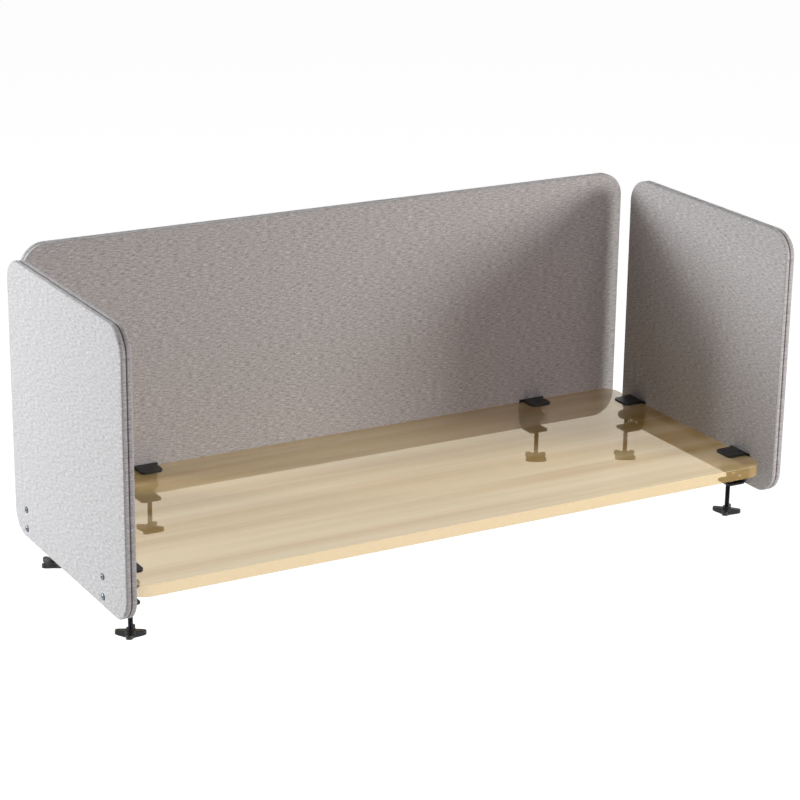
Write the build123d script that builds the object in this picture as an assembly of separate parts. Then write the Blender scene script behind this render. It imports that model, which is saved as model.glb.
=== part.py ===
from build123d import *
import os
from math import cos, radians, sin

# Study carrel: a desktop with three fabric privacy panels held on its edges by six screw clamps.
# Millimetres. The origin is the middle of the desktop's underside: +X to the sitter's right,
# +Y away from the sitter, +Z up.

# Desktop.
desk_width = 1180.0
desk_depth = 480.0
desk_thickness = 20.0
desk_corner = 30.0
band_thickness = 2.0
band_arris = 1.2
frame_hole_spacing_x = 900.0
frame_hole_spacing_y = 300.0
frame_hole_radius = 2.5
frame_hole_depth = 14.0

# Panels. Each is two fabric-wrapped boards glued to a thin dark core, set in a little all round.
panel_height = 466.0
panel_below_desk_top = 54.0
panel_thickness = 18.0
panel_corner = 42.0
back_length = 1168.0
back_set_right = 16.0
side_length = 460.0
side_set_forward = 40.0
core_thickness = 2.0
core_inset = 2.5
cover_rim = 2.5

# Clamps: folded steel, with an M8 screw.
steel = 3.0
bend_inside = 1.5
jaw_back_width = 48.0
jaw_top_width = 40.0
jaw_reach = 42.0
jaw_shoulder = 8.0
jaw_drop = 25.0
jaw_corner = 7.0
pad_thickness = 1.5
lower_width = 38.0
lower_reach = 36.5
lower_top = -30.0
lower_tab_top = -9.0
collar_radius = 7.5
collar_height = 2.0
screw_in = 25.0
screw_radius = 4.0
thread_clearance = 0.06
screw_low_end = -88.0
disc_radius = 16.0
disc_thickness = 10.0
disc_chamfer = 3.0
facing_radius = 14.5
facing_thickness = 1.5
ball_radius = 3.0
ball_clearance = 0.06
ball_height = -7.0
neck_radius = 2.0
neck_hole_radius = 2.3
neck_gap = 0.4

# Star knob.
knob_top = -81.0
knob_bottom = -92.0
knob_lobe_radius = 5.0
knob_lobe_centre = 19.7
knob_hub_radius = 10.0
knob_collar_radius = 7.0
knob_collar_height = 3.0
knob_rim = 1.2
knob_dish = 5.0

# Fasteners.
panel_screw_radius = 2.5
panel_screw_hole = 2.75
panel_screw_head_radius = 5.5
panel_screw_head_height = 2.8
panel_screw_heights = (16.0, -17.0)
jaw_bolt_head_radius = 4.0
jaw_bolt_head_height = 2.6
jaw_bolt_spread = 8.0
jaw_bolt_height = -21.0
hex_key = 3.0
hex_depth = 1.6

panel_bottom = desk_thickness - panel_below_desk_top
face_x = desk_width / 2 + steel
face_y = desk_depth / 2 + steel
side_middle_y = face_y - side_set_forward - side_length / 2

# A side's own frame: x along the panel, y outwards from the panel's inner face, z up.
BACK = Location((0, face_y, 0), (0, 0, 0))
LEFT = Location((-face_x, 0, 0), (0, 0, 90))
RIGHT = Location((face_x, 0, 0), (0, 0, -90))

# Clamp name: the side it is on, its place along the side's own x, and the turn of its knob.
CLAMPS = {
    "back_left": (BACK, -365.0, 45.0),
    "back_right": (BACK, 415.0, 15.0),
    "left_rear": (LEFT, 150.0, 20.0),
    "left_front": (LEFT, -168.0, 60.0),
    "right_rear": (RIGHT, -150.0, 105.0),
    "right_front": (RIGHT, 168.0, 135.0),
}
PANELS = {
    "back_panel": (BACK, back_set_right, back_length),
    "left_panel": (LEFT, side_middle_y, side_length),
    "right_panel": (RIGHT, -side_middle_y, side_length),
}


def save(shape, node):
    export_step(shape, f"parts/{node}.step")


def block(x0, x1, y0, y1, z0, z1):
    """A box between two corners."""
    size = (x1 - x0, y1 - y0, z1 - z0)
    return Pos((x0 + x1) / 2, (y0 + y1) / 2, (z0 + z1) / 2) * Box(*size)


def upright(x, y, z0, z1, radius):
    """A cylinder with its axis along z."""
    return Pos(x, y, (z0 + z1) / 2) * Cylinder(radius, z1 - z0)


def through(x, z, y0, y1, radius):
    """A cylinder with its axis along y."""
    return Pos(x, (y0 + y1) / 2, z) * Rot(90, 0, 0) * Cylinder(radius, y1 - y0)


def rounded_board(length, z0, z1, y0, y1, corner):
    """An upright board with rounded corners, lying between y0 and y1."""
    outline = RectangleRounded(length, z1 - z0, corner)
    board = extrude(outline, (y1 - y0) / 2, both=True)
    return Pos(0, (y0 + y1) / 2, (z0 + z1) / 2) * Rot(90, 0, 0) * board


# ---------------------------------------------------------------- desktop


def make_desktop():
    """The faced board, with four pilot holes underneath for a desk frame, and its eased edge band."""
    outline = RectangleRounded(desk_width, desk_depth, desk_corner)
    inner = RectangleRounded(
        desk_width - 2 * band_thickness,
        desk_depth - 2 * band_thickness,
        desk_corner - band_thickness,
    )
    board = extrude(inner, desk_thickness)
    slab = extrude(outline, desk_thickness)
    arrises = slab.edges().group_by(Axis.Z)[0] + slab.edges().group_by(Axis.Z)[-1]
    band = fillet(arrises, band_arris) - board
    for x in (-frame_hole_spacing_x / 2, frame_hole_spacing_x / 2):
        for y in (-frame_hole_spacing_y / 2, frame_hole_spacing_y / 2):
            board -= upright(x, y, 0, frame_hole_depth, frame_hole_radius)
    save(board, "desktop_board")
    save(band, "desktop_edge_band")


# ---------------------------------------------------------------- panels


def make_panel(name, side, middle, length):
    """Inner cover, core and outer cover, each drilled for the clamp screws."""
    half = (panel_thickness - core_thickness) / 2
    z0 = panel_bottom
    z1 = panel_bottom + panel_height
    inner = rounded_board(length, z0, z1, 0, half, panel_corner)
    outer = rounded_board(length, z0, z1, panel_thickness - half, panel_thickness, panel_corner)
    core = rounded_board(
        length - 2 * core_inset,
        z0 + core_inset,
        z1 - core_inset,
        half,
        panel_thickness - half,
        panel_corner - core_inset,
    )
    inner = fillet(inner.faces().sort_by(Axis.Y)[0].edges(), cover_rim)
    outer = fillet(outer.faces().sort_by(Axis.Y)[-1].edges(), cover_rim)
    covers = {"inner_cover": inner, "core": core, "outer_cover": outer}
    for part, board in covers.items():
        for clamp_side, place, _ in CLAMPS.values():
            if clamp_side is not side:
                continue
            for height in panel_screw_heights:
                board -= through(place - middle, height, -1, panel_thickness + 1, panel_screw_hole)
        save(side * Pos(middle, 0, 0) * board, f"{name}_{part}")


# ---------------------------------------------------------------- clamps


def angle_plate(corner_y, corner_z, turn_y, turn_z, reach, rise):
    """
    Side profile of a folded plate in the y-z plane, as a face facing +x. The outside of the fold is
    at (corner_y, corner_z); one leg runs `reach` along turn_y, the other `rise` along turn_z.
    """
    outside = bend_inside + steel

    def at(y, z):
        return (0, corner_y + turn_y * y, corner_z + turn_z * z)

    edges = [
        Line(at(outside, 0), at(reach, 0)),
        Line(at(reach, 0), at(reach, steel)),
        Line(at(reach, steel), at(outside, steel)),
        ThreePointArc(
            at(outside, steel),
            at(outside - bend_inside * sin(radians(45)), outside - bend_inside * cos(radians(45))),
            at(steel, outside),
        ),
        Line(at(steel, outside), at(steel, rise)),
        Line(at(steel, rise), at(0, rise)),
        Line(at(0, rise), at(0, outside)),
        ThreePointArc(
            at(0, outside),
            at(outside - outside * sin(radians(45)), outside - outside * cos(radians(45))),
            at(outside, 0),
        ),
    ]
    return Face(Wire(edges))


def make_upper_jaw():
    """Hook over the desk's edge: a back plate against the panel and a tongue on the desktop."""
    top = desk_thickness + pad_thickness + steel
    profile = angle_plate(0, top, -1, -1, jaw_reach, top + jaw_drop)
    jaw = extrude(profile, jaw_back_width / 2, dir=(1, 0, 0), both=True)
    tongue = jaw_top_width / 2
    beyond = jaw_back_width / 2 + 1
    for x0, x1 in ((-beyond, -tongue), (tongue, beyond)):
        jaw -= block(x0, x1, -jaw_reach - 1, -jaw_shoulder, desk_thickness, top + 1)
    tongue_corners = jaw.edges().filter_by(Axis.Z).group_by(Axis.Y)[0]
    jaw = fillet(tongue_corners, jaw_corner)
    foot_corners = jaw.edges().filter_by(Axis.Y).group_by(Axis.Z)[0]
    jaw = fillet(foot_corners, jaw_corner)
    for height in panel_screw_heights:
        jaw -= through(0, height, -steel - 1, 1, panel_screw_radius)
    for x in (-jaw_bolt_spread, jaw_bolt_spread):
        jaw -= through(x, jaw_bolt_height, -steel - 1, 1, panel_screw_radius)
    return jaw


def make_jaw_pad():
    """Rubber strip between the tongue and the desktop."""
    y0 = -jaw_reach + 1
    y1 = -steel - bend_inside - 0.5
    outline = RectangleRounded(jaw_top_width - 2, y1 - y0, jaw_corner - 1)
    return Pos(0, (y0 + y1) / 2, desk_thickness) * extrude(outline, pad_thickness)


def make_lower_jaw():
    """Angle bolted inside the upper jaw's back plate, with a tapped collar for the screw."""
    low = lower_top - steel
    profile = angle_plate(-steel, low, -1, 1, lower_reach - steel, lower_tab_top - low)
    jaw = extrude(profile, lower_width / 2, dir=(1, 0, 0), both=True)
    nose_corners = jaw.edges().filter_by(Axis.Z).group_by(Axis.Y)[0]
    jaw = fillet(nose_corners, jaw_corner)
    tab_corners = jaw.edges().filter_by(Axis.Y).group_by(Axis.Z)[-1]
    jaw = fillet(tab_corners, jaw_corner / 2)
    jaw += upright(0, -screw_in, lower_top - 0.5, lower_top + collar_height, collar_radius)
    hole = screw_radius + thread_clearance
    jaw -= upright(0, -screw_in, low - 1, lower_top + collar_height + 1, hole)
    for x in (-jaw_bolt_spread, jaw_bolt_spread):
        jaw -= through(x, jaw_bolt_height, -2 * steel - 1, -steel + 1, panel_screw_radius)
    return jaw


def make_pressure_disc():
    """Swivel disc with a ball socket that is crimped round the screw's neck."""
    disc = upright(0, -screw_in, -disc_thickness, -facing_thickness, disc_radius)
    disc = chamfer(disc.edges().group_by(Axis.Z)[0], disc_chamfer)
    disc -= Pos(0, -screw_in, ball_height) * Sphere(ball_radius + ball_clearance)
    disc -= upright(0, -screw_in, -disc_thickness - 1, ball_height, neck_hole_radius)
    return disc


def make_disc_facing():
    """Rubber facing between the disc and the desktop's underside."""
    return upright(0, -screw_in, -facing_thickness, 0, facing_radius)


def make_clamp_screw():
    """M8 screw, its tip turned down to a neck and a ball."""
    shoulder = -disc_thickness - neck_gap
    screw = upright(0, -screw_in, screw_low_end, shoulder, screw_radius)
    screw = chamfer(screw.edges().group_by(Axis.Z)[-1], 0.8)
    screw += upright(0, -screw_in, shoulder, ball_height, neck_radius)
    screw += Pos(0, -screw_in, ball_height) * Sphere(ball_radius)
    return screw


def make_knob(turn):
    """Moulded star knob with four lobes, thinner towards their tips, on the screw's lower end."""
    outline = Circle(knob_hub_radius)
    for lobe in range(4):
        angle = radians(90 * lobe)
        x = knob_lobe_centre * cos(angle)
        y = knob_lobe_centre * sin(angle)
        arm = Polygon(
            (2, -knob_lobe_radius - 1.5),
            (knob_lobe_centre, -knob_lobe_radius),
            (knob_lobe_centre, knob_lobe_radius),
            (2, knob_lobe_radius + 1.5),
            align=None,
        )
        outline += Rot(0, 0, 90 * lobe) * arm
        outline += Pos(x, y) * Circle(knob_lobe_radius)
    hollows = outline.vertices().group_by(SortBy.DISTANCE)[0]
    outline = fillet(hollows, 3.0)
    height = knob_top - knob_bottom
    beyond = knob_lobe_centre + knob_lobe_radius + 1
    body = extrude(outline, height)
    body = fillet(body.edges().group_by(Axis.Z)[-1], knob_rim)
    section = Polygon(
        (0, 0),
        (knob_hub_radius - 2, 0),
        (beyond, knob_dish),
        (beyond, height + 1),
        (0, height + 1),
        align=None,
    )
    body &= revolve(Rot(90, 0, 0) * section, Axis.Z)
    body += upright(0, 0, height - 0.5, height + knob_collar_height, knob_collar_radius)
    socket_floor = screw_low_end - knob_bottom
    body -= upright(0, 0, socket_floor, height + knob_collar_height + 1, screw_radius)
    return Pos(0, -screw_in, knob_bottom) * Rot(0, 0, turn) * body


def make_screw(x, z, seat_y, tip_y, radius, head_radius, head_height):
    """Domed machine screw along y with a hex socket. The head stands beyond seat_y."""
    out = 1 if seat_y > tip_y else -1
    y0, y1 = sorted((seat_y, tip_y))
    head_y0, head_y1 = sorted((seat_y, seat_y + out * head_height))
    head = through(x, z, head_y0, head_y1, head_radius)
    rim = head.edges().sort_by(Axis.Y)[-1 if out > 0 else 0]
    head = fillet(rim, head_height * 0.6)
    socket = extrude(RegularPolygon(hex_key / 2, 6, major_radius=False), hex_depth)
    turn = Rot(90, 0, 0) if out > 0 else Rot(-90, 0, 0)
    head -= Pos(x, seat_y + out * head_height, z) * turn * socket
    return head + through(x, z, y0, y1, radius)


def make_clamp(name, side, place, knob_turn):
    """All pieces of one clamp, carried to its place on the desk's edge."""
    put = side * Pos(place, 0, 0)
    pieces = {
        "upper_jaw": make_upper_jaw(),
        "jaw_pad": make_jaw_pad(),
        "lower_jaw": make_lower_jaw(),
        "pressure_disc": make_pressure_disc(),
        "disc_facing": make_disc_facing(),
        "clamp_screw": make_clamp_screw(),
        "star_knob": make_knob(knob_turn),
    }
    for part, shape in pieces.items():
        save(put * shape, f"{name}_{part}")


def make_fasteners():
    """All panel screws in one node and all jaw bolts in another, each a separate solid."""
    screws = []
    bolts = []
    for side, place, _ in CLAMPS.values():
        put = side * Pos(place, 0, 0)
        for height in panel_screw_heights:
            screw = make_screw(
                0,
                height,
                panel_thickness,
                -steel,
                panel_screw_radius,
                panel_screw_head_radius,
                panel_screw_head_height,
            )
            screws.append(put * screw)
        for x in (-jaw_bolt_spread, jaw_bolt_spread):
            bolt = make_screw(
                x,
                jaw_bolt_height,
                -2 * steel,
                0,
                panel_screw_radius,
                jaw_bolt_head_radius,
                jaw_bolt_head_height,
            )
            bolts.append(put * bolt)
    save(Compound(children=screws), "panel_screws")
    save(Compound(children=bolts), "jaw_bolts")


os.makedirs("parts", exist_ok=True)
make_desktop()
for panel_name, (panel_side, panel_middle, panel_length) in PANELS.items():
    make_panel(panel_name, panel_side, panel_middle, panel_length)
for clamp_name, (clamp_side, clamp_place, clamp_turn) in CLAMPS.items():
    make_clamp(clamp_name, clamp_side, clamp_place, clamp_turn)
make_fasteners()
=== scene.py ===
import bmesh
import bpy
import numpy as np
from mathutils import Matrix, Vector


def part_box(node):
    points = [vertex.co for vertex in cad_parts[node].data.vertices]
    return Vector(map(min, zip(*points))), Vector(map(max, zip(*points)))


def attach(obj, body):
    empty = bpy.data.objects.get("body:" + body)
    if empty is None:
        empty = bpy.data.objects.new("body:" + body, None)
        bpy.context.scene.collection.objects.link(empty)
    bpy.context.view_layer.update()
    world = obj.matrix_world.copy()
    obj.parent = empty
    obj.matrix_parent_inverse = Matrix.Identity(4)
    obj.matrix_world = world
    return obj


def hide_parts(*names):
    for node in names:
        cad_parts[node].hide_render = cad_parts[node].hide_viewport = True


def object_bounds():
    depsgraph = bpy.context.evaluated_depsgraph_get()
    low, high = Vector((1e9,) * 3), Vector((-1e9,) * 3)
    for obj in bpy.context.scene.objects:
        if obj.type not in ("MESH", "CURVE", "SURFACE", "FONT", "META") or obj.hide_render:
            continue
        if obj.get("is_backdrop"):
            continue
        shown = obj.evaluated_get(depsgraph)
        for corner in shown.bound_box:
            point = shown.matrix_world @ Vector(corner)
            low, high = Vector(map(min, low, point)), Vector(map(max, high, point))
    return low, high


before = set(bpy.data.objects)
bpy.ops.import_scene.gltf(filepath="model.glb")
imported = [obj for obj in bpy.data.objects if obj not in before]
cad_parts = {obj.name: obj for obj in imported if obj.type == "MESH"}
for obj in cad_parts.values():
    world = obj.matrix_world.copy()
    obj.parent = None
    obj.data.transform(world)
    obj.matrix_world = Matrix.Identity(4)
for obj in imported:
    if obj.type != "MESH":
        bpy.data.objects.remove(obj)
cad_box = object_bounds()

# ------------------------------------------------------------------ panel cores
# Between the two wrapped boards of each panel lies a thin hardboard core. Only its edge shows,
# as a dark line all round the panel, because it is set in behind the fabric.

PANELS = ("back_panel", "left_panel", "right_panel")


def linear(hex_colour):
    """An sRGB hex colour as linear RGBA: each channel goes through the sRGB curve's two parts."""
    srgb = np.array([int(hex_colour[i:i + 2], 16) for i in (1, 3, 5)]) / 255
    light = np.where(srgb <= 0.04045, srgb / 12.92, ((srgb + 0.055) / 1.055) ** 2.4)
    return (*light.tolist(), 1.0)


def material(name):
    """A new node material, emptied of its nodes."""
    made = bpy.data.materials.new(name)
    made.use_nodes = True
    made.node_tree.nodes.clear()
    return made, made.node_tree


def add(tree, kind, settings=None, inputs=None):
    """Adds a node. inputs maps a socket's name or number to a value or to another node's socket."""
    made = tree.nodes.new("ShaderNode" + kind)
    for name, value in (settings or {}).items():
        setattr(made, name, value)
    for key, value in (inputs or {}).items():
        if isinstance(value, bpy.types.NodeSocket):
            tree.links.new(value, made.inputs[key])
        else:
            made.inputs[key].default_value = value
    return made


def paint(finish, *names):
    """Gives CAD nodes a finish in place of the plain one that they came with."""
    for name in names:
        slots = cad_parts[name].data.materials
        slots.clear()
        slots.append(finish)


# Hardboard, pressed and dyed through: a dull grey-brown with a fibrous fleck of about 2 mm. It
# looks dark because little light reaches into the seam.
hardboard, tree = material("hardboard_core")
place = add(tree, "TexCoord").outputs["Object"]
fibre = add(tree, "TexNoise", inputs={"Vector": place, "Scale": 500.0, "Detail": 3.0})
tone = add(tree, "Mix", {"data_type": "RGBA"},
           {0: fibre.outputs["Fac"], 6: linear("#7C7471"), 7: linear("#A39B98")})
relief = add(tree, "Bump", inputs={"Height": fibre.outputs["Fac"], "Distance": 0.0002, "Strength": 0.6})
skin = add(tree, "BsdfPrincipled",
           inputs={"Base Color": tone.outputs[2], "Roughness": 0.85, "Normal": relief.outputs["Normal"]})
add(tree, "OutputMaterial", inputs={"Surface": skin.outputs["BSDF"]})
paint(hardboard, *(f"{panel}_core" for panel in PANELS))

# ------------------------------------------------------------------ wrapped boards
# Each panel is two 8 mm felt boards wrapped in woven melange polyester: flat faces, a soft
# rounded rim, a slightly full edge, and the cloth turned in where the boards meet at the core.
# The screw heads on the outer faces sink a little into the felt.

CLAMPS = ("back_left", "back_right", "left_rear", "left_front", "right_rear", "right_front")
PANEL_SIDES = (1, -1, 1)         # which way along its thin axis each panel's outer face looks
PANEL_CLAMPS = (CLAMPS[:2], CLAMPS[2:4], CLAMPS[4:])

PANEL_CORNER = 0.042
RIM = 0.0018                     # radius where the face rolls over to the edge
TURN_IN = 0.0008                 # radius where the edge turns in to the seam
EDGE_SWELL = 0.0004              # how far the cloth swells at the middle of the edge
FACE_SWELL = 0.0007              # how far the outer face stands over the level of the heads' seats
SWELL_RISE = 0.012               # how far in from the sides that swell has grown in full
HEAD_SPREAD = 0.009              # how far from a screw head the felt is pulled down
SCREW_HEIGHTS = (0.016, -0.017)
HEAD_BAND = 0.066                # the band along the sides that holds the heads and has close rings

GRID_STEP = 0.010                # between points along a board's straight sides
HEAD_STEP = 0.0016               # the same near a screw head
HEAD_REACH = 0.016               # how far from a head the points stay close
CORNER_CUTS, RIM_CUTS, EDGE_CUTS = 12, 6, 7
FACE_RINGS, HEAD_RINGS, PLAIN_RINGS, BACK_RINGS = 16, 34, 4, 8


def stations(half, centres=()):
    """Positions from -half to half, a grid step apart, and a head step apart near each centre."""
    marks = [np.linspace(-half, half, max(2, round(2 * half / GRID_STEP) + 1))]
    marks += [np.arange(centre - HEAD_REACH, centre + HEAD_REACH, HEAD_STEP) for centre in centres]
    marks = np.unique(np.round(np.concatenate(marks), 5))
    marks = marks[np.abs(marks) <= half]
    marks = marks[np.concatenate([[True], np.diff(marks) > 0.6 * HEAD_STEP])]
    marks[-1] = half
    return marks


def outline(half_run, half_height, runs, rises):
    """
    Points and outward normals round a rounded rectangle, anticlockwise from the lower left end of
    its bottom side. Straight sides take the given stations; each corner is a quarter circle.
    """
    turn = np.linspace(0, np.pi / 2, CORNER_CUTS + 1)[1:-1]
    straight = (half_run - PANEL_CORNER, half_height - PANEL_CORNER)
    sides = (
        (runs, -half_height, (0, -1)), (rises, half_run, (1, 0)),
        (runs[::-1], half_height, (0, 1)), (rises[::-1], -half_run, (-1, 0)),
    )
    corners = ((1, -1), (1, 1), (-1, 1), (-1, -1))
    points, normals = [], []
    for side, (marks, level, normal) in enumerate(sides):
        fixed = np.full_like(marks, level)
        points.append(np.stack([marks, fixed] if normal[0] == 0 else [fixed, marks], 1))
        normals.append(np.tile(np.array(normal, float), (len(marks), 1)))
        angle = (side - 1) * np.pi / 2 + turn
        ray = np.stack([np.cos(angle), np.sin(angle)], 1)
        points.append(np.array(corners[side]) * straight + PANEL_CORNER * ray)
        normals.append(ray)
    return np.concatenate(points), np.concatenate(normals)


def edge_profile(thickness):
    """
    The wrapped edge as (outwards, inwards from the face): a quarter circle off the face, a wall
    that swells by a squared half sine, and a quarter circle that turns in to the glued face.
    """
    roll = np.linspace(0, np.pi / 2, RIM_CUTS + 1)
    rim = np.stack([RIM * (np.sin(roll) - 1), RIM * (1 - np.cos(roll))], 1)
    along = np.linspace(0, 1, EDGE_CUTS + 1)[1:-1]
    wall = np.stack([0 * along, RIM + along * (thickness - RIM - TURN_IN)], 1)
    turn = np.stack([TURN_IN * (np.cos(roll) - 1), thickness - TURN_IN * (1 - np.sin(roll))], 1)
    profile = np.concatenate([rim, wall, turn])
    profile[:, 0] += EDGE_SWELL * np.sin(np.pi * profile[:, 1] / thickness) ** 2
    return profile


def face_swell(plane, half, spots):
    """
    How far the outer face stands out at each point of its plane: a quarter sine that grows in from
    the nearest side, times one less a bell curve round the nearest screw head.
    """
    inset = np.clip((half - np.abs(plane)).min(-1) / SWELL_RISE, 0, 1)
    away = ((plane[..., None, :] - spots) ** 2).sum(-1)
    pull = np.exp(-away / HEAD_SPREAD ** 2).max(-1)
    return FACE_SWELL * np.sin(inset * np.pi / 2) * (1 - pull)


def grid_faces(rows, columns):
    """Quads of a grid whose columns close on themselves: each point with the next two by two."""
    row, column = np.indices((rows - 1, columns))
    right = (column + 1) % columns
    return np.stack([row * columns + column, row * columns + right,
                     (row + 1) * columns + right, (row + 1) * columns + column], -1).reshape(-1, 4)


def mesh_object(name, points, finish, uvs=None):
    """
    A smooth mesh at the origin from a grid of points, rows first. Its doubles are merged, which
    closes the first and last rows, and its faces are turned outwards.
    """
    rows, columns = points.shape[:2]
    mesh = bpy.data.meshes.new(name)
    mesh.from_pydata(points.reshape(-1, 3).tolist(), [], grid_faces(rows, columns).tolist())
    if uvs is not None:
        corners = np.zeros(len(mesh.loops), np.int32)
        mesh.loops.foreach_get("vertex_index", corners)
        mesh.uv_layers.new(name="cloth").data.foreach_set("uv", uvs.reshape(-1, 2)[corners].ravel())
    shape = bmesh.new()
    shape.from_mesh(mesh)
    bmesh.ops.remove_doubles(shape, verts=shape.verts, dist=1e-6)
    bmesh.ops.dissolve_degenerate(shape, edges=shape.edges, dist=1e-7)
    bmesh.ops.recalc_face_normals(shape, faces=shape.faces)
    shape.to_mesh(mesh)
    shape.free()
    mesh.polygons.foreach_set("use_smooth", np.full(len(mesh.polygons), True))
    mesh.materials.append(finish)
    made = bpy.data.objects.new(name, mesh)
    bpy.context.scene.collection.objects.link(made)
    return made


def wrapped_board(node, side, heads, finish):
    """
    One wrapped board in a cover's box. side is +1 where the face looks along the thin axis and -1
    where it looks back. Rings run from the middle line of the face, each a straight mix of middle
    line and rim, over the edge profile carried round the outline along its normals, and back
    across the glued face to the middle line. UVs are the place on the face, and past the rim the
    length of cloth beyond it.
    """
    low, high = (np.array(corner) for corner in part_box(node))
    middle, half = (low + high) / 2, (high - low) / 2
    thin = int(np.argmin(half))
    run = 1 - thin
    thickness = 2 * half[thin]

    runs = stations(half[run] - PANEL_CORNER, [head[run] - middle[run] for head in heads])
    runs = np.unique(np.round(np.concatenate([runs, -runs]), 5))
    ring, normal = outline(half[run], half[2], runs, stations(half[2] - PANEL_CORNER))
    overhang = half[run] - half[2]
    spine = np.stack([np.clip(ring[:, 0], -overhang, overhang), 0 * ring[:, 0]], 1)
    profile = edge_profile(thickness)
    face_rim = ring + profile[0, 0] * normal
    seam_rim = ring + profile[-1, 0] * normal

    band, rings = (HEAD_BAND / (half[2] - RIM), HEAD_RINGS) if heads else (0.02, PLAIN_RINGS)
    share = np.concatenate([np.linspace(0, 1 - band, FACE_RINGS), np.linspace(1 - band, 1, rings)[1:-1]])
    face = spine + share[:, None, None] * (face_rim - spine)
    edge = ring + profile[:, None, :1] * normal
    back = spine + np.linspace(1, 0, BACK_RINGS)[1:, None, None] * (seam_rim - spine)
    plane = np.concatenate([face, edge, back])
    depth = np.concatenate([np.zeros(len(face)), profile[:, 1], np.full(len(back), thickness)])
    depth = depth[:, None] * np.ones(len(ring))
    if heads:
        spots = np.array([(head[run], height) for head in heads for height in SCREW_HEIGHTS])
        on_face = np.arange(len(depth))[:, None] <= len(face)
        depth -= on_face * face_swell(plane, half[[run, 2]], spots - middle[[run, 2]])

    cloth = np.concatenate([[0], np.cumsum(np.hypot(*np.diff(profile, axis=0).T))])
    uvs = np.concatenate([face, face_rim + cloth[:, None, None] * normal,
                          face_rim + cloth[-1] * normal - (seam_rim - back)])
    points = np.zeros((*depth.shape, 3))
    points[..., [run, 2]] = plane + middle[[run, 2]]
    points[..., thin] = middle[thin] + side * (half[thin] - depth)
    return mesh_object(node.replace("cover", "board"), points, finish, uvs)


# Melange polyester, yarn-dyed and plain woven: light and mid grey fibres spun together, so each
# yarn varies along its length. It gives the eye short soft flecks along both threads over an even
# grey, no shine, and a faint bloom at a low angle. Yarns are 1.0 mm apart; the flecks are drawn
# 1.5 mm wide, a yarn and a half, which is as fine as shows from a few steps away.
YARN = 0.001
melange, tree = material("melange_polyester_weave")
cloth = add(tree, "UVMap", {"uv_map": "cloth"}).outputs["UV"]

FLECKS = (
    # size along the weft and across it in metres, place in the noise, weight
    (0.011, 0.0015, 11, 1.6),    # weft yarns
    (0.0015, 0.005, 23, 0.7),    # warp yarns
    (0.003, 0.003, 31, 0.5),     # a soft mottle
)
fleck = 0.0
for along, across, seed, weight in FLECKS:
    scaled = add(tree, "VectorMath", {"operation": "MULTIPLY_ADD"},
                 {0: cloth, 1: (1 / along, 1 / across, 0), 2: (seed, 0.37 * seed, 0)})
    spun = add(tree, "TexNoise", {"noise_dimensions": "2D"},
               {"Vector": scaled.outputs[0], "Scale": 1.0, "Detail": 2.0, "Roughness": 0.6})
    fleck = add(tree, "Math", {"operation": "MULTIPLY_ADD"},
                {0: spun.outputs["Fac"], 1: weight, 2: fleck}).outputs[0]
fleck = add(tree, "MapRange", inputs={"Value": fleck, 1: 0.9, 2: 1.9}).outputs[0]

# The plain weave: a sine across each thread, and its sign says which thread lies on top. The crown also
# sets where shade is painted into the hollows between yarns.
yarns = add(tree, "VectorMath", {"operation": "SCALE"}, {0: cloth, "Scale": np.pi / YARN})
yarns = add(tree, "SeparateXYZ", inputs={0: yarns.outputs[0]})
sine_u = add(tree, "Math", {"operation": "SINE"}, {0: yarns.outputs[0]}).outputs[0]
sine_v = add(tree, "Math", {"operation": "SINE"}, {0: yarns.outputs[1]}).outputs[0]
checker = add(tree, "Math", {"operation": "MULTIPLY"}, {0: sine_u, 1: sine_v}).outputs[0]
over = add(tree, "MapRange", inputs={"Value": checker, 1: -0.1, 2: 0.1}).outputs[0]
weft_crown = add(tree, "Math", {"operation": "ABSOLUTE"}, {0: sine_v}).outputs[0]
warp_crown = add(tree, "Math", {"operation": "ABSOLUTE"}, {0: sine_u}).outputs[0]
crown = add(tree, "Mix", {"data_type": "FLOAT"}, {0: over, 2: weft_crown, 3: warp_crown}).outputs[0]

shade = add(tree, "Mix", {"data_type": "RGBA"}, {0: fleck, 6: linear("#948C8B"), 7: linear("#D8D4D7")})
# Painted shade: the cloth's colour is darkened to 0.82 of itself in the hollows between yarns, where the
# crown is low.
hollow_painted_shade = add(tree, "MapRange", inputs={"Value": crown, 1: 0.0, 2: 0.6, 3: 0.82, 4: 1.0}).outputs[0]
shade = add(tree, "VectorMath", {"operation": "SCALE"}, {0: shade.outputs[2], "Scale": hollow_painted_shade})
height = add(tree, "Math", {"operation": "MULTIPLY_ADD"}, {0: crown, 1: 0.25, 2: fleck}).outputs[0]
relief = add(tree, "Bump", inputs={"Height": height, "Distance": 0.0007, "Strength": 0.6})
skin = add(tree, "BsdfPrincipled",
           inputs={"Base Color": shade.outputs[0], "Roughness": 0.92, "Specular IOR Level": 0.25,
                   "Sheen Weight": 0.2, "Sheen Roughness": 0.5, "Normal": relief.outputs["Normal"]})
add(tree, "OutputMaterial", inputs={"Surface": skin.outputs["BSDF"]})

for panel, side, clamps in zip(PANELS, PANEL_SIDES, PANEL_CLAMPS):
    jaws = [np.array(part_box(f"{clamp}_upper_jaw")).mean(0) for clamp in clamps]
    for layer, facing, heads in (("inner", -side, ()), ("outer", side, jaws)):
        cover = f"{panel}_{layer}_cover"
        board = wrapped_board(cover, facing, heads, melange)
        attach(board, "carrel")
        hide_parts(cover)

# ------------------------------------------------------------------ clamp jaws
# The hook over the desktop's edge and the angle below it are folded from 3 mm mild steel and
# powder coated black. A rubber pad lines the hook, and the tapped collar is part of the angle.

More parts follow.
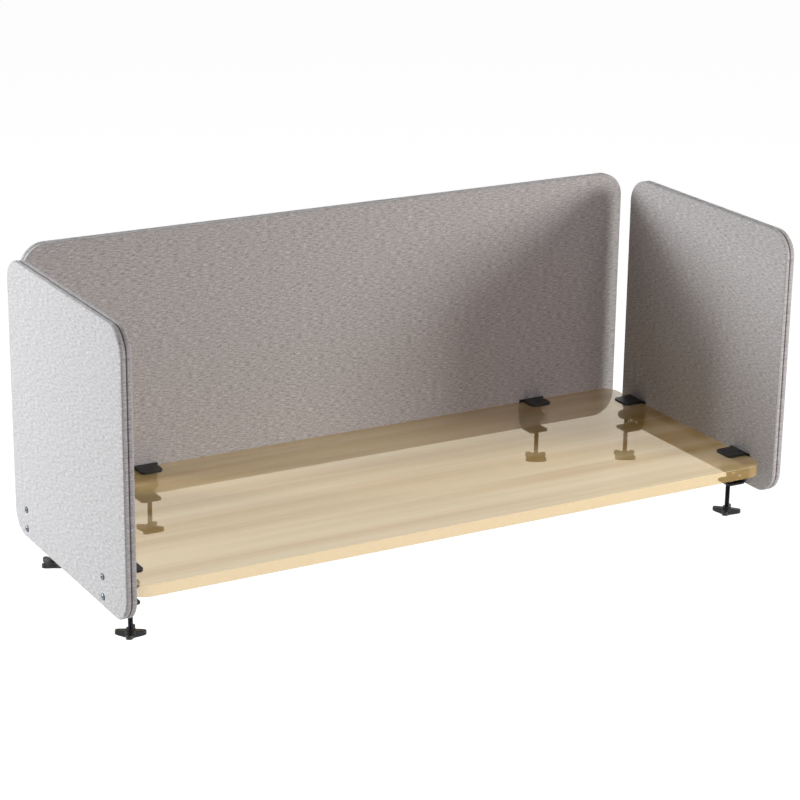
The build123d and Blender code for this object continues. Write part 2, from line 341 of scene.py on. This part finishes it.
# Powder coat, sprayed and baked: near-black and satin, with an orange peel of about 1.5 mm and a
# gloss that drifts over about 11 mm.
coat, tree = material("black_powder_coat")
place = add(tree, "TexCoord").outputs["Object"]
peel = add(tree, "TexNoise", inputs={"Vector": place, "Scale": 650.0, "Detail": 1.0})
dust = add(tree, "TexNoise", inputs={"Vector": place, "Scale": 90.0, "Detail": 4.0})
tone = add(tree, "Mix", {"data_type": "RGBA"},
           {0: dust.outputs["Fac"], 6: linear("#0F1011"), 7: linear("#1A1B1D")})
gloss = add(tree, "MapRange", inputs={"Value": dust.outputs["Fac"], 1: 0.3, 2: 0.7, 3: 0.34, 4: 0.48})
relief = add(tree, "Bump", inputs={"Height": peel.outputs["Fac"], "Distance": 0.00008, "Strength": 0.5})
skin = add(tree, "BsdfPrincipled",
           inputs={"Base Color": tone.outputs[2], "Roughness": gloss.outputs[0],
                   "Specular IOR Level": 0.35, "Normal": relief.outputs["Normal"]})
add(tree, "OutputMaterial", inputs={"Surface": skin.outputs["BSDF"]})
paint(coat, *(f"{clamp}_{jaw}_jaw" for clamp in CLAMPS for jaw in ("upper", "lower")))

# Moulded rubber: dead black with a fine grain of about 0.8 mm that varies its tone a little.
rubber, tree = material("moulded_rubber")
place = add(tree, "TexCoord").outputs["Object"]
grain = add(tree, "TexNoise", inputs={"Vector": place, "Scale": 1200.0, "Detail": 2.0})
tone = add(tree, "Mix", {"data_type": "RGBA"},
           {0: grain.outputs["Fac"], 6: linear("#131313"), 7: linear("#2A2928")})
relief = add(tree, "Bump", inputs={"Height": grain.outputs["Fac"], "Distance": 0.0001, "Strength": 0.5})
skin = add(tree, "BsdfPrincipled",
           inputs={"Base Color": tone.outputs[2], "Roughness": 0.8, "Normal": relief.outputs["Normal"]})
add(tree, "OutputMaterial", inputs={"Surface": skin.outputs["BSDF"]})
paint(rubber, *(f"{clamp}_{part}" for clamp in CLAMPS for part in ("jaw_pad", "disc_facing")))

# ------------------------------------------------------------------ bolts and panel screws
# Two bright zinc-plated bolts join the jaws of each clamp. Two black-nickel screws, one over the
# other, go through the panel into the hook's back plate. All have domed heads with a hex socket.


def plated(name, dark, light, rough):
    """Plated steel: a metal whose tone and gloss drift over about 3 mm, as plating does."""
    made, tree = material(name)
    place = add(tree, "TexCoord").outputs["Object"]
    cloud = add(tree, "TexNoise", inputs={"Vector": place, "Scale": 350.0, "Detail": 3.0})
    tone = add(tree, "Mix", {"data_type": "RGBA"},
               {0: cloud.outputs["Fac"], 6: linear(dark), 7: linear(light)})
    gloss = add(tree, "MapRange",
                inputs={"Value": cloud.outputs["Fac"], 1: 0.3, 2: 0.7, 3: rough, 4: rough + 0.12})
    skin = add(tree, "BsdfPrincipled",
               inputs={"Base Color": tone.outputs[2], "Metallic": 1.0, "Roughness": gloss.outputs[0]})
    add(tree, "OutputMaterial", inputs={"Surface": skin.outputs["BSDF"]})
    return made


# Bright zinc is pale and softly glossy. Black nickel is a darker blue-grey and mirrors more.
paint(plated("bright_zinc_plate", "#B9BABA", "#DCDDDC", 0.22), "jaw_bolts")
paint(plated("black_nickel_plate", "#4E545B", "#858B92", 0.08), "panel_screws")

# ------------------------------------------------------------------ clamp screws
# An M8 screw, rolled from steel rod and oil-blackened, with a right-hand thread of 1.25 mm. Its
# tip is turned down to a neck and a ball, which the pressure disc is crimped round.

PITCH = 0.00125
CREST, ROOT = 0.0040, 0.0034     # the thread's outer and inner radius
NECK, BALL = 0.0020, 0.0030      # radii
BALL_HEIGHT = -0.007
NECK_DROP = 0.0034               # from the ball's centre down to the rod's shoulder
CHAMFER = 0.0008                 # height of the shoulder's chamfer
CHAMFER_START = 0.0003           # how far inside the crests the chamfer begins
RINGS_PER_PITCH, ROD_SIDES, BALL_CUTS = 10, 32, 15


def threaded_rod(name, x, y, low, high, finish):
    """
    A rod as rings of a radius that depends on height and angle: a rounded saw of one crest per
    pitch that climbs with the angle, cut off by the rod's own outline of chamfer, neck and ball.
    """
    shoulder = BALL_HEIGHT - NECK_DROP
    chamfer_foot = shoulder - CHAMFER
    thread = np.linspace(low, chamfer_foot, round((shoulder - low) / PITCH * RINGS_PER_PITCH))
    chamfer = np.linspace(chamfer_foot, shoulder, 4)[1:]
    neck = [shoulder, BALL_HEIGHT - np.sqrt(BALL ** 2 - NECK ** 2)]
    arc = np.linspace(np.arcsin(NECK / BALL), np.pi, BALL_CUTS + 1)[1:-1]
    z = np.concatenate([[low], thread, chamfer, neck, BALL_HEIGHT - BALL * np.cos(arc), [high]])
    limit = np.concatenate([[0], np.full(len(thread), CREST),
                            CREST - CHAMFER_START - (chamfer - chamfer[0]),
                            [NECK, NECK], BALL * np.sin(arc), [0]])
    angle = np.linspace(0, 2 * np.pi, ROD_SIDES, endpoint=False)
    phase = (z[:, None] / PITCH - angle / (2 * np.pi)) % 1
    saw = np.clip(1.6 * (1 - np.abs(2 * phase - 1)) - 0.25, 0, 1)
    radius = np.minimum(ROOT + (CREST - ROOT) * saw, limit[:, None])
    points = np.stack([x + radius * np.cos(angle), y + radius * np.sin(angle),
                       z[:, None] + 0 * angle], -1)
    return mesh_object(name, points, finish)


# Oil-blackened steel: dark blue-grey metal, half glossy, with a tone that drifts over about 4 mm.
blackened, tree = material("oil_blackened_steel")
place = add(tree, "TexCoord").outputs["Object"]
cloud = add(tree, "TexNoise", inputs={"Vector": place, "Scale": 260.0, "Detail": 3.0})
tone = add(tree, "Mix", {"data_type": "RGBA"},
           {0: cloud.outputs["Fac"], 6: linear("#1B1C1E"), 7: linear("#33353A")})
gloss = add(tree, "MapRange", inputs={"Value": cloud.outputs["Fac"], 1: 0.3, 2: 0.7, 3: 0.28, 4: 0.45})
skin = add(tree, "BsdfPrincipled",
           inputs={"Base Color": tone.outputs[2], "Metallic": 1.0, "Roughness": gloss.outputs[0]})
add(tree, "OutputMaterial", inputs={"Surface": skin.outputs["BSDF"]})

for clamp in CLAMPS:
    low, high = (np.array(corner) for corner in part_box(f"{clamp}_clamp_screw"))
    x, y = (low + high)[:2] / 2
    rod = threaded_rod(f"{clamp}_threaded_screw", x, y, low[2], high[2], blackened)
    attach(rod, f"{clamp}_screw")
    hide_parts(f"{clamp}_clamp_screw")

# ------------------------------------------------------------------ pressure discs and star knobs
# The swivel disc under the desktop and the four-lobed star knob on the screw's lower end are
# injection moulded in glass-filled nylon. A rubber facing is let into the disc.

# Glass-filled nylon, moulded in a spark-eroded tool: black, low gloss, with a fine even texture of
# about 0.7 mm and flow marks about 17 mm long.
nylon, tree = material("glass_filled_nylon")
place = add(tree, "TexCoord").outputs["Object"]
spark = add(tree, "TexNoise", inputs={"Vector": place, "Scale": 1400.0, "Detail": 2.0})
flow = add(tree, "TexNoise", inputs={"Vector": place, "Scale": 60.0, "Detail": 2.0})
tone = add(tree, "Mix", {"data_type": "RGBA"},
           {0: flow.outputs["Fac"], 6: linear("#09090A"), 7: linear("#131314")})
gloss = add(tree, "MapRange", inputs={"Value": flow.outputs["Fac"], 1: 0.3, 2: 0.7, 3: 0.36, 4: 0.48})
relief = add(tree, "Bump", inputs={"Height": spark.outputs["Fac"], "Distance": 0.00006, "Strength": 0.5})
skin = add(tree, "BsdfPrincipled",
           inputs={"Base Color": tone.outputs[2], "Roughness": gloss.outputs[0],
                   "Normal": relief.outputs["Normal"]})
add(tree, "OutputMaterial", inputs={"Surface": skin.outputs["BSDF"]})
paint(nylon, *(f"{clamp}_{part}" for clamp in CLAMPS for part in ("pressure_disc", "star_knob")))

# ------------------------------------------------------------------ desktop
# A 20 mm board faced on both sides with pale woodgrain, and a 2 mm band of the same tone glued
# round its edge with the arrises eased. Both let part of what lies behind them show through.

AMBER = (1.0, 0.95, 0.86, 1)     # what the light keeps of each colour as it passes a face
BLUSH = (1.04, 0.96, 0.98, 1)    # the print's drift towards pink
OAK_PALE, OAK_DEEP = linear("#EDD7A5"), linear("#BE9A4B")
FACE_CLEAR = 0.32                # the share of light that passes the print on the flat faces


def woodgrain(tree, hidden, pale, deep, rough, clear):
    """
    Pale woodgrain along X: broad bands 70 mm wide and over a metre long, streaks 26 mm wide and
    fine lines 4 mm wide, as noise stretched along the grain, and a slow drift towards pink. The
    print scatters part of the light and passes the rest, toned amber, and a face seen from inside
    the board only tones it, so every line through the desktop meets the print once. hidden is a
    socket that is 1 on the glued walls between board and band, which have no finish and show
    nothing. The colours pale and deep and the share clear may be values or sockets.
    """
    place = add(tree, "TexCoord").outputs["Object"]

    def streaks(length, width, seed):
        """Noise stretched to streaks of that length and width, in metres."""
        scaled = add(tree, "VectorMath", {"operation": "MULTIPLY_ADD"},
                     {0: place, 1: (1 / length, 1 / width, 1.0), 2: (seed, seed, seed)})
        noise = add(tree, "TexNoise", inputs={"Vector": scaled.outputs[0], "Scale": 1.0, "Detail": 1.5,
                                              "Roughness": 0.5, "Distortion": 0.2})
        return noise.outputs["Fac"]

    lines = streaks(0.25, 0.004, 12.3)
    figure = add(tree, "Math", {"operation": "MULTIPLY"}, {0: lines, 1: 0.3}).outputs[0]
    for bands, weight in ((streaks(0.8, 0.026, 7.7), 0.45), (streaks(1.5, 0.070, 4.6), 1.6)):
        figure = add(tree, "Math", {"operation": "MULTIPLY_ADD"},
                     {0: bands, 1: weight, 2: figure}).outputs[0]
    figure = add(tree, "MapRange", inputs={"Value": figure, 1: 0.925, 2: 1.425}).outputs[0]
    tone = add(tree, "Mix", {"data_type": "RGBA"}, {0: figure, 6: deep, 7: pale})
    drift = add(tree, "MapRange", inputs={"Value": streaks(0.9, 0.045, 5.9), 1: 0.35, 2: 0.65}).outputs[0]
    tone = add(tree, "Mix", {"data_type": "RGBA", "blend_type": "MULTIPLY"},
               {0: drift, 6: tone.outputs[2], 7: BLUSH})
    relief = add(tree, "Bump", inputs={"Height": lines, "Distance": 0.00005, "Strength": 0.3})
    skin = add(tree, "BsdfPrincipled",
               inputs={"Base Color": tone.outputs[2], "Roughness": rough,
                       "Normal": relief.outputs["Normal"]})

    passed = add(tree, "BsdfTransparent", inputs={"Color": AMBER})
    printed = add(tree, "MixShader", inputs={0: clear, 1: skin.outputs[0], 2: passed.outputs[0]})
    inside = add(tree, "NewGeometry").outputs["Backfacing"]
    face = add(tree, "MixShader", inputs={0: inside, 1: printed.outputs[0], 2: passed.outputs[0]})
    bare = add(tree, "BsdfTransparent", inputs={"Color": (1, 1, 1, 1)})
    walls = add(tree, "MixShader", inputs={0: hidden, 1: face.outputs[0], 2: bare.outputs[0]})
    lamp_light = add(tree, "LightPath").outputs["Is Shadow Ray"]
    both = add(tree, "MixShader", inputs={0: lamp_light, 1: walls.outputs[0], 2: bare.outputs[0]})
    add(tree, "OutputMaterial", inputs={"Surface": both.outputs[0]})


# Woodgrain melamine on board: printed pale oak, satin, with soft broad streaks and no knots. The
# board's upright walls are glued behind the band.
laminate, tree = material("pale_oak_melamine")
facing = add(tree, "SeparateXYZ", inputs={0: add(tree, "NewGeometry").outputs["Normal"]})
level = add(tree, "Math", {"operation": "ABSOLUTE"}, {0: facing.outputs[2]}).outputs[0]
upright = add(tree, "Math", {"operation": "LESS_THAN"}, {0: level, 1: 0.5}).outputs[0]
woodgrain(tree, upright, OAK_PALE, OAK_DEEP, 0.38, FACE_CLEAR)
paint(laminate, "desktop_board")

# Edge band, extruded ABS: the same oak print, satin, a little warmer and denser on the upright
# side, and like the faces where the arris turns up to them. Its inner wall, which looks towards
# the middle of the desktop, is glued to the board.
EDGE_CLEAR = 0.50                # the same share on the band's upright side
band, tree = material("oak_abs_edge_band")
normal = add(tree, "NewGeometry").outputs["Normal"]
spoke = add(tree, "VectorMath", {"operation": "MULTIPLY"},
            {0: add(tree, "TexCoord").outputs["Object"], 1: (1, 1, 0)})
outward = add(tree, "VectorMath", {"operation": "DOT_PRODUCT"}, {0: normal, 1: spoke.outputs[0]})
inner = add(tree, "Math", {"operation": "LESS_THAN"}, {0: outward.outputs["Value"], 1: -0.01}).outputs[0]
turned = add(tree, "SeparateXYZ", inputs={0: normal})
top = add(tree, "MapRange", inputs={"Value": turned.outputs[2], 1: 0.2, 2: 0.7}).outputs[0]
pale = add(tree, "Mix", {"data_type": "RGBA"},
           {0: top, 6: linear("#D6B473"), 7: OAK_PALE}).outputs[2]
deep = add(tree, "Mix", {"data_type": "RGBA"},
           {0: top, 6: linear("#C8A665"), 7: linear("#D6B778")}).outputs[2]
clear = add(tree, "MapRange", inputs={"Value": top, 3: EDGE_CLEAR, 4: FACE_CLEAR}).outputs[0]
woodgrain(tree, inner, pale, deep, 0.42, clear)
paint(band, "desktop_edge_band")

# ------------------------------------------------------------------ studio
# A plain pale floor at a desk's height below the desktop, soft lamps, and the camera.

FLOOR_HEIGHT = -0.72
FLOOR_CORNERS = ((-30, -30), (30, -30), (30, 60), (-30, 60))


def in_sight(tree):
    """1 on the rays of the eye and of gloss and clear surfaces, and 0 on scattered light."""
    path = add(tree, "LightPath")
    sent_on = add(tree, "Math", {"operation": "MAXIMUM"},
                  {0: path.outputs["Is Glossy Ray"], 1: path.outputs["Is Transmission Ray"]}).outputs[0]
    return add(tree, "Math", {"operation": "MAXIMUM"},
               {0: path.outputs["Is Camera Ray"], 1: sent_on}).outputs[0]


# Matt white studio paper: it takes shadows, and to the eye and in reflections it is close to white.
paper, tree = material("studio_paper")
matt = add(tree, "BsdfDiffuse", inputs={"Color": (0.80, 0.80, 0.80, 1)})
dim = add(tree, "BsdfDiffuse", inputs={"Color": (0.25, 0.25, 0.25, 1)})
glow = add(tree, "Emission", inputs={"Color": (1, 1, 1, 1), "Strength": 0.97})
bright = add(tree, "AddShader", inputs={0: dim.outputs[0], 1: glow.outputs[0]})
both = add(tree, "MixShader", inputs={0: in_sight(tree), 1: matt.outputs[0], 2: bright.outputs[0]})
add(tree, "OutputMaterial", inputs={"Surface": both.outputs[0]})

floor_mesh = bpy.data.meshes.new("floor")
floor_mesh.from_pydata([(x, y, FLOOR_HEIGHT) for x, y in FLOOR_CORNERS], [], [(0, 1, 2, 3)])
floor_mesh.materials.append(paper)
floor = bpy.data.objects.new("floor", floor_mesh)
bpy.context.scene.collection.objects.link(floor)
floor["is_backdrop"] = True

# The room: white to the eye and in reflections, and only a little fill light on the object.
world = bpy.data.worlds.new("studio")
world.use_nodes = True
world.node_tree.nodes.clear()
tree = world.node_tree
fill = add(tree, "Background", inputs={"Color": (1, 1, 1, 1), "Strength": 0.03})
white = add(tree, "Background", inputs={"Color": (1, 1, 1, 1), "Strength": 1.0})
both = add(tree, "MixShader", inputs={0: in_sight(tree), 1: fill.outputs[0], 2: white.outputs[0]})
add(tree, "OutputWorld", inputs={"Surface": both.outputs[0]})
bpy.context.scene.world = world

# Square soft lamps, all aimed at the middle of the desktop: name, place, size, watts and colour.
LAMPS = (
    ("key_behind_left", (-3.209, 1.296, 0.992), 0.7, 128.0, (0.94, 0.995, 1.0)),
    ("front_right", (2.474, -2.307, 1.231), 1.0, 75.0, (0.98, 1.0, 0.94)),
    ("front_fill", (0.587, -3.331, 1.231), 1.0, 27.0, (1.0, 0.91, 0.95)),
    ("overhead", (0.0, 1.8, 3.118), 0.7, 28.0, (1.0, 1.0, 1.0)),
)
for name, spot, size, watts, colour in LAMPS:
    lamp = bpy.data.lights.new(name, "AREA")
    lamp.shape = "SQUARE"
    lamp.size = size
    lamp.energy = watts
    lamp.color = colour
    light = bpy.data.objects.new(name, lamp)
    light.location = spot
    light.rotation_euler = (-Vector(spot)).to_track_quat("-Z", "Y").to_euler()
    light.visible_camera = False
    bpy.context.scene.collection.objects.link(light)

# The camera: its yaw to the right of +Y, its pitch down and a slight roll, in radians.
CAMERA_PLACE = (-1.931471, -3.411086, 1.475457)
YAW, PITCH_DOWN, ROLL = 0.51518, -0.32472, 0.01336
LENS, SENSOR = 110.9449, 36.0    # mm

camera = bpy.data.objects.new("camera", bpy.data.cameras.new("camera"))
camera.data.lens = LENS
camera.data.sensor_width = SENSOR
camera.data.clip_end = 100.0
ahead = np.array([np.sin(YAW) * np.cos(PITCH_DOWN), np.cos(YAW) * np.cos(PITCH_DOWN), np.sin(PITCH_DOWN)])
right = np.array([np.cos(YAW), -np.sin(YAW), 0.0])
up = np.cross(right, ahead)
rolled_right = np.cos(ROLL) * right + np.sin(ROLL) * up
rolled_up = -np.sin(ROLL) * right + np.cos(ROLL) * up
camera.matrix_world = Matrix.Translation(CAMERA_PLACE) @ Matrix(
    np.stack([rolled_right, rolled_up, -ahead], 1).tolist()).to_4x4()
bpy.context.scene.collection.objects.link(camera)
bpy.context.scene.camera = camera
bpy.context.scene.view_settings.view_transform = "Standard"

size = {"cad": cad_box, "visual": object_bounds()}
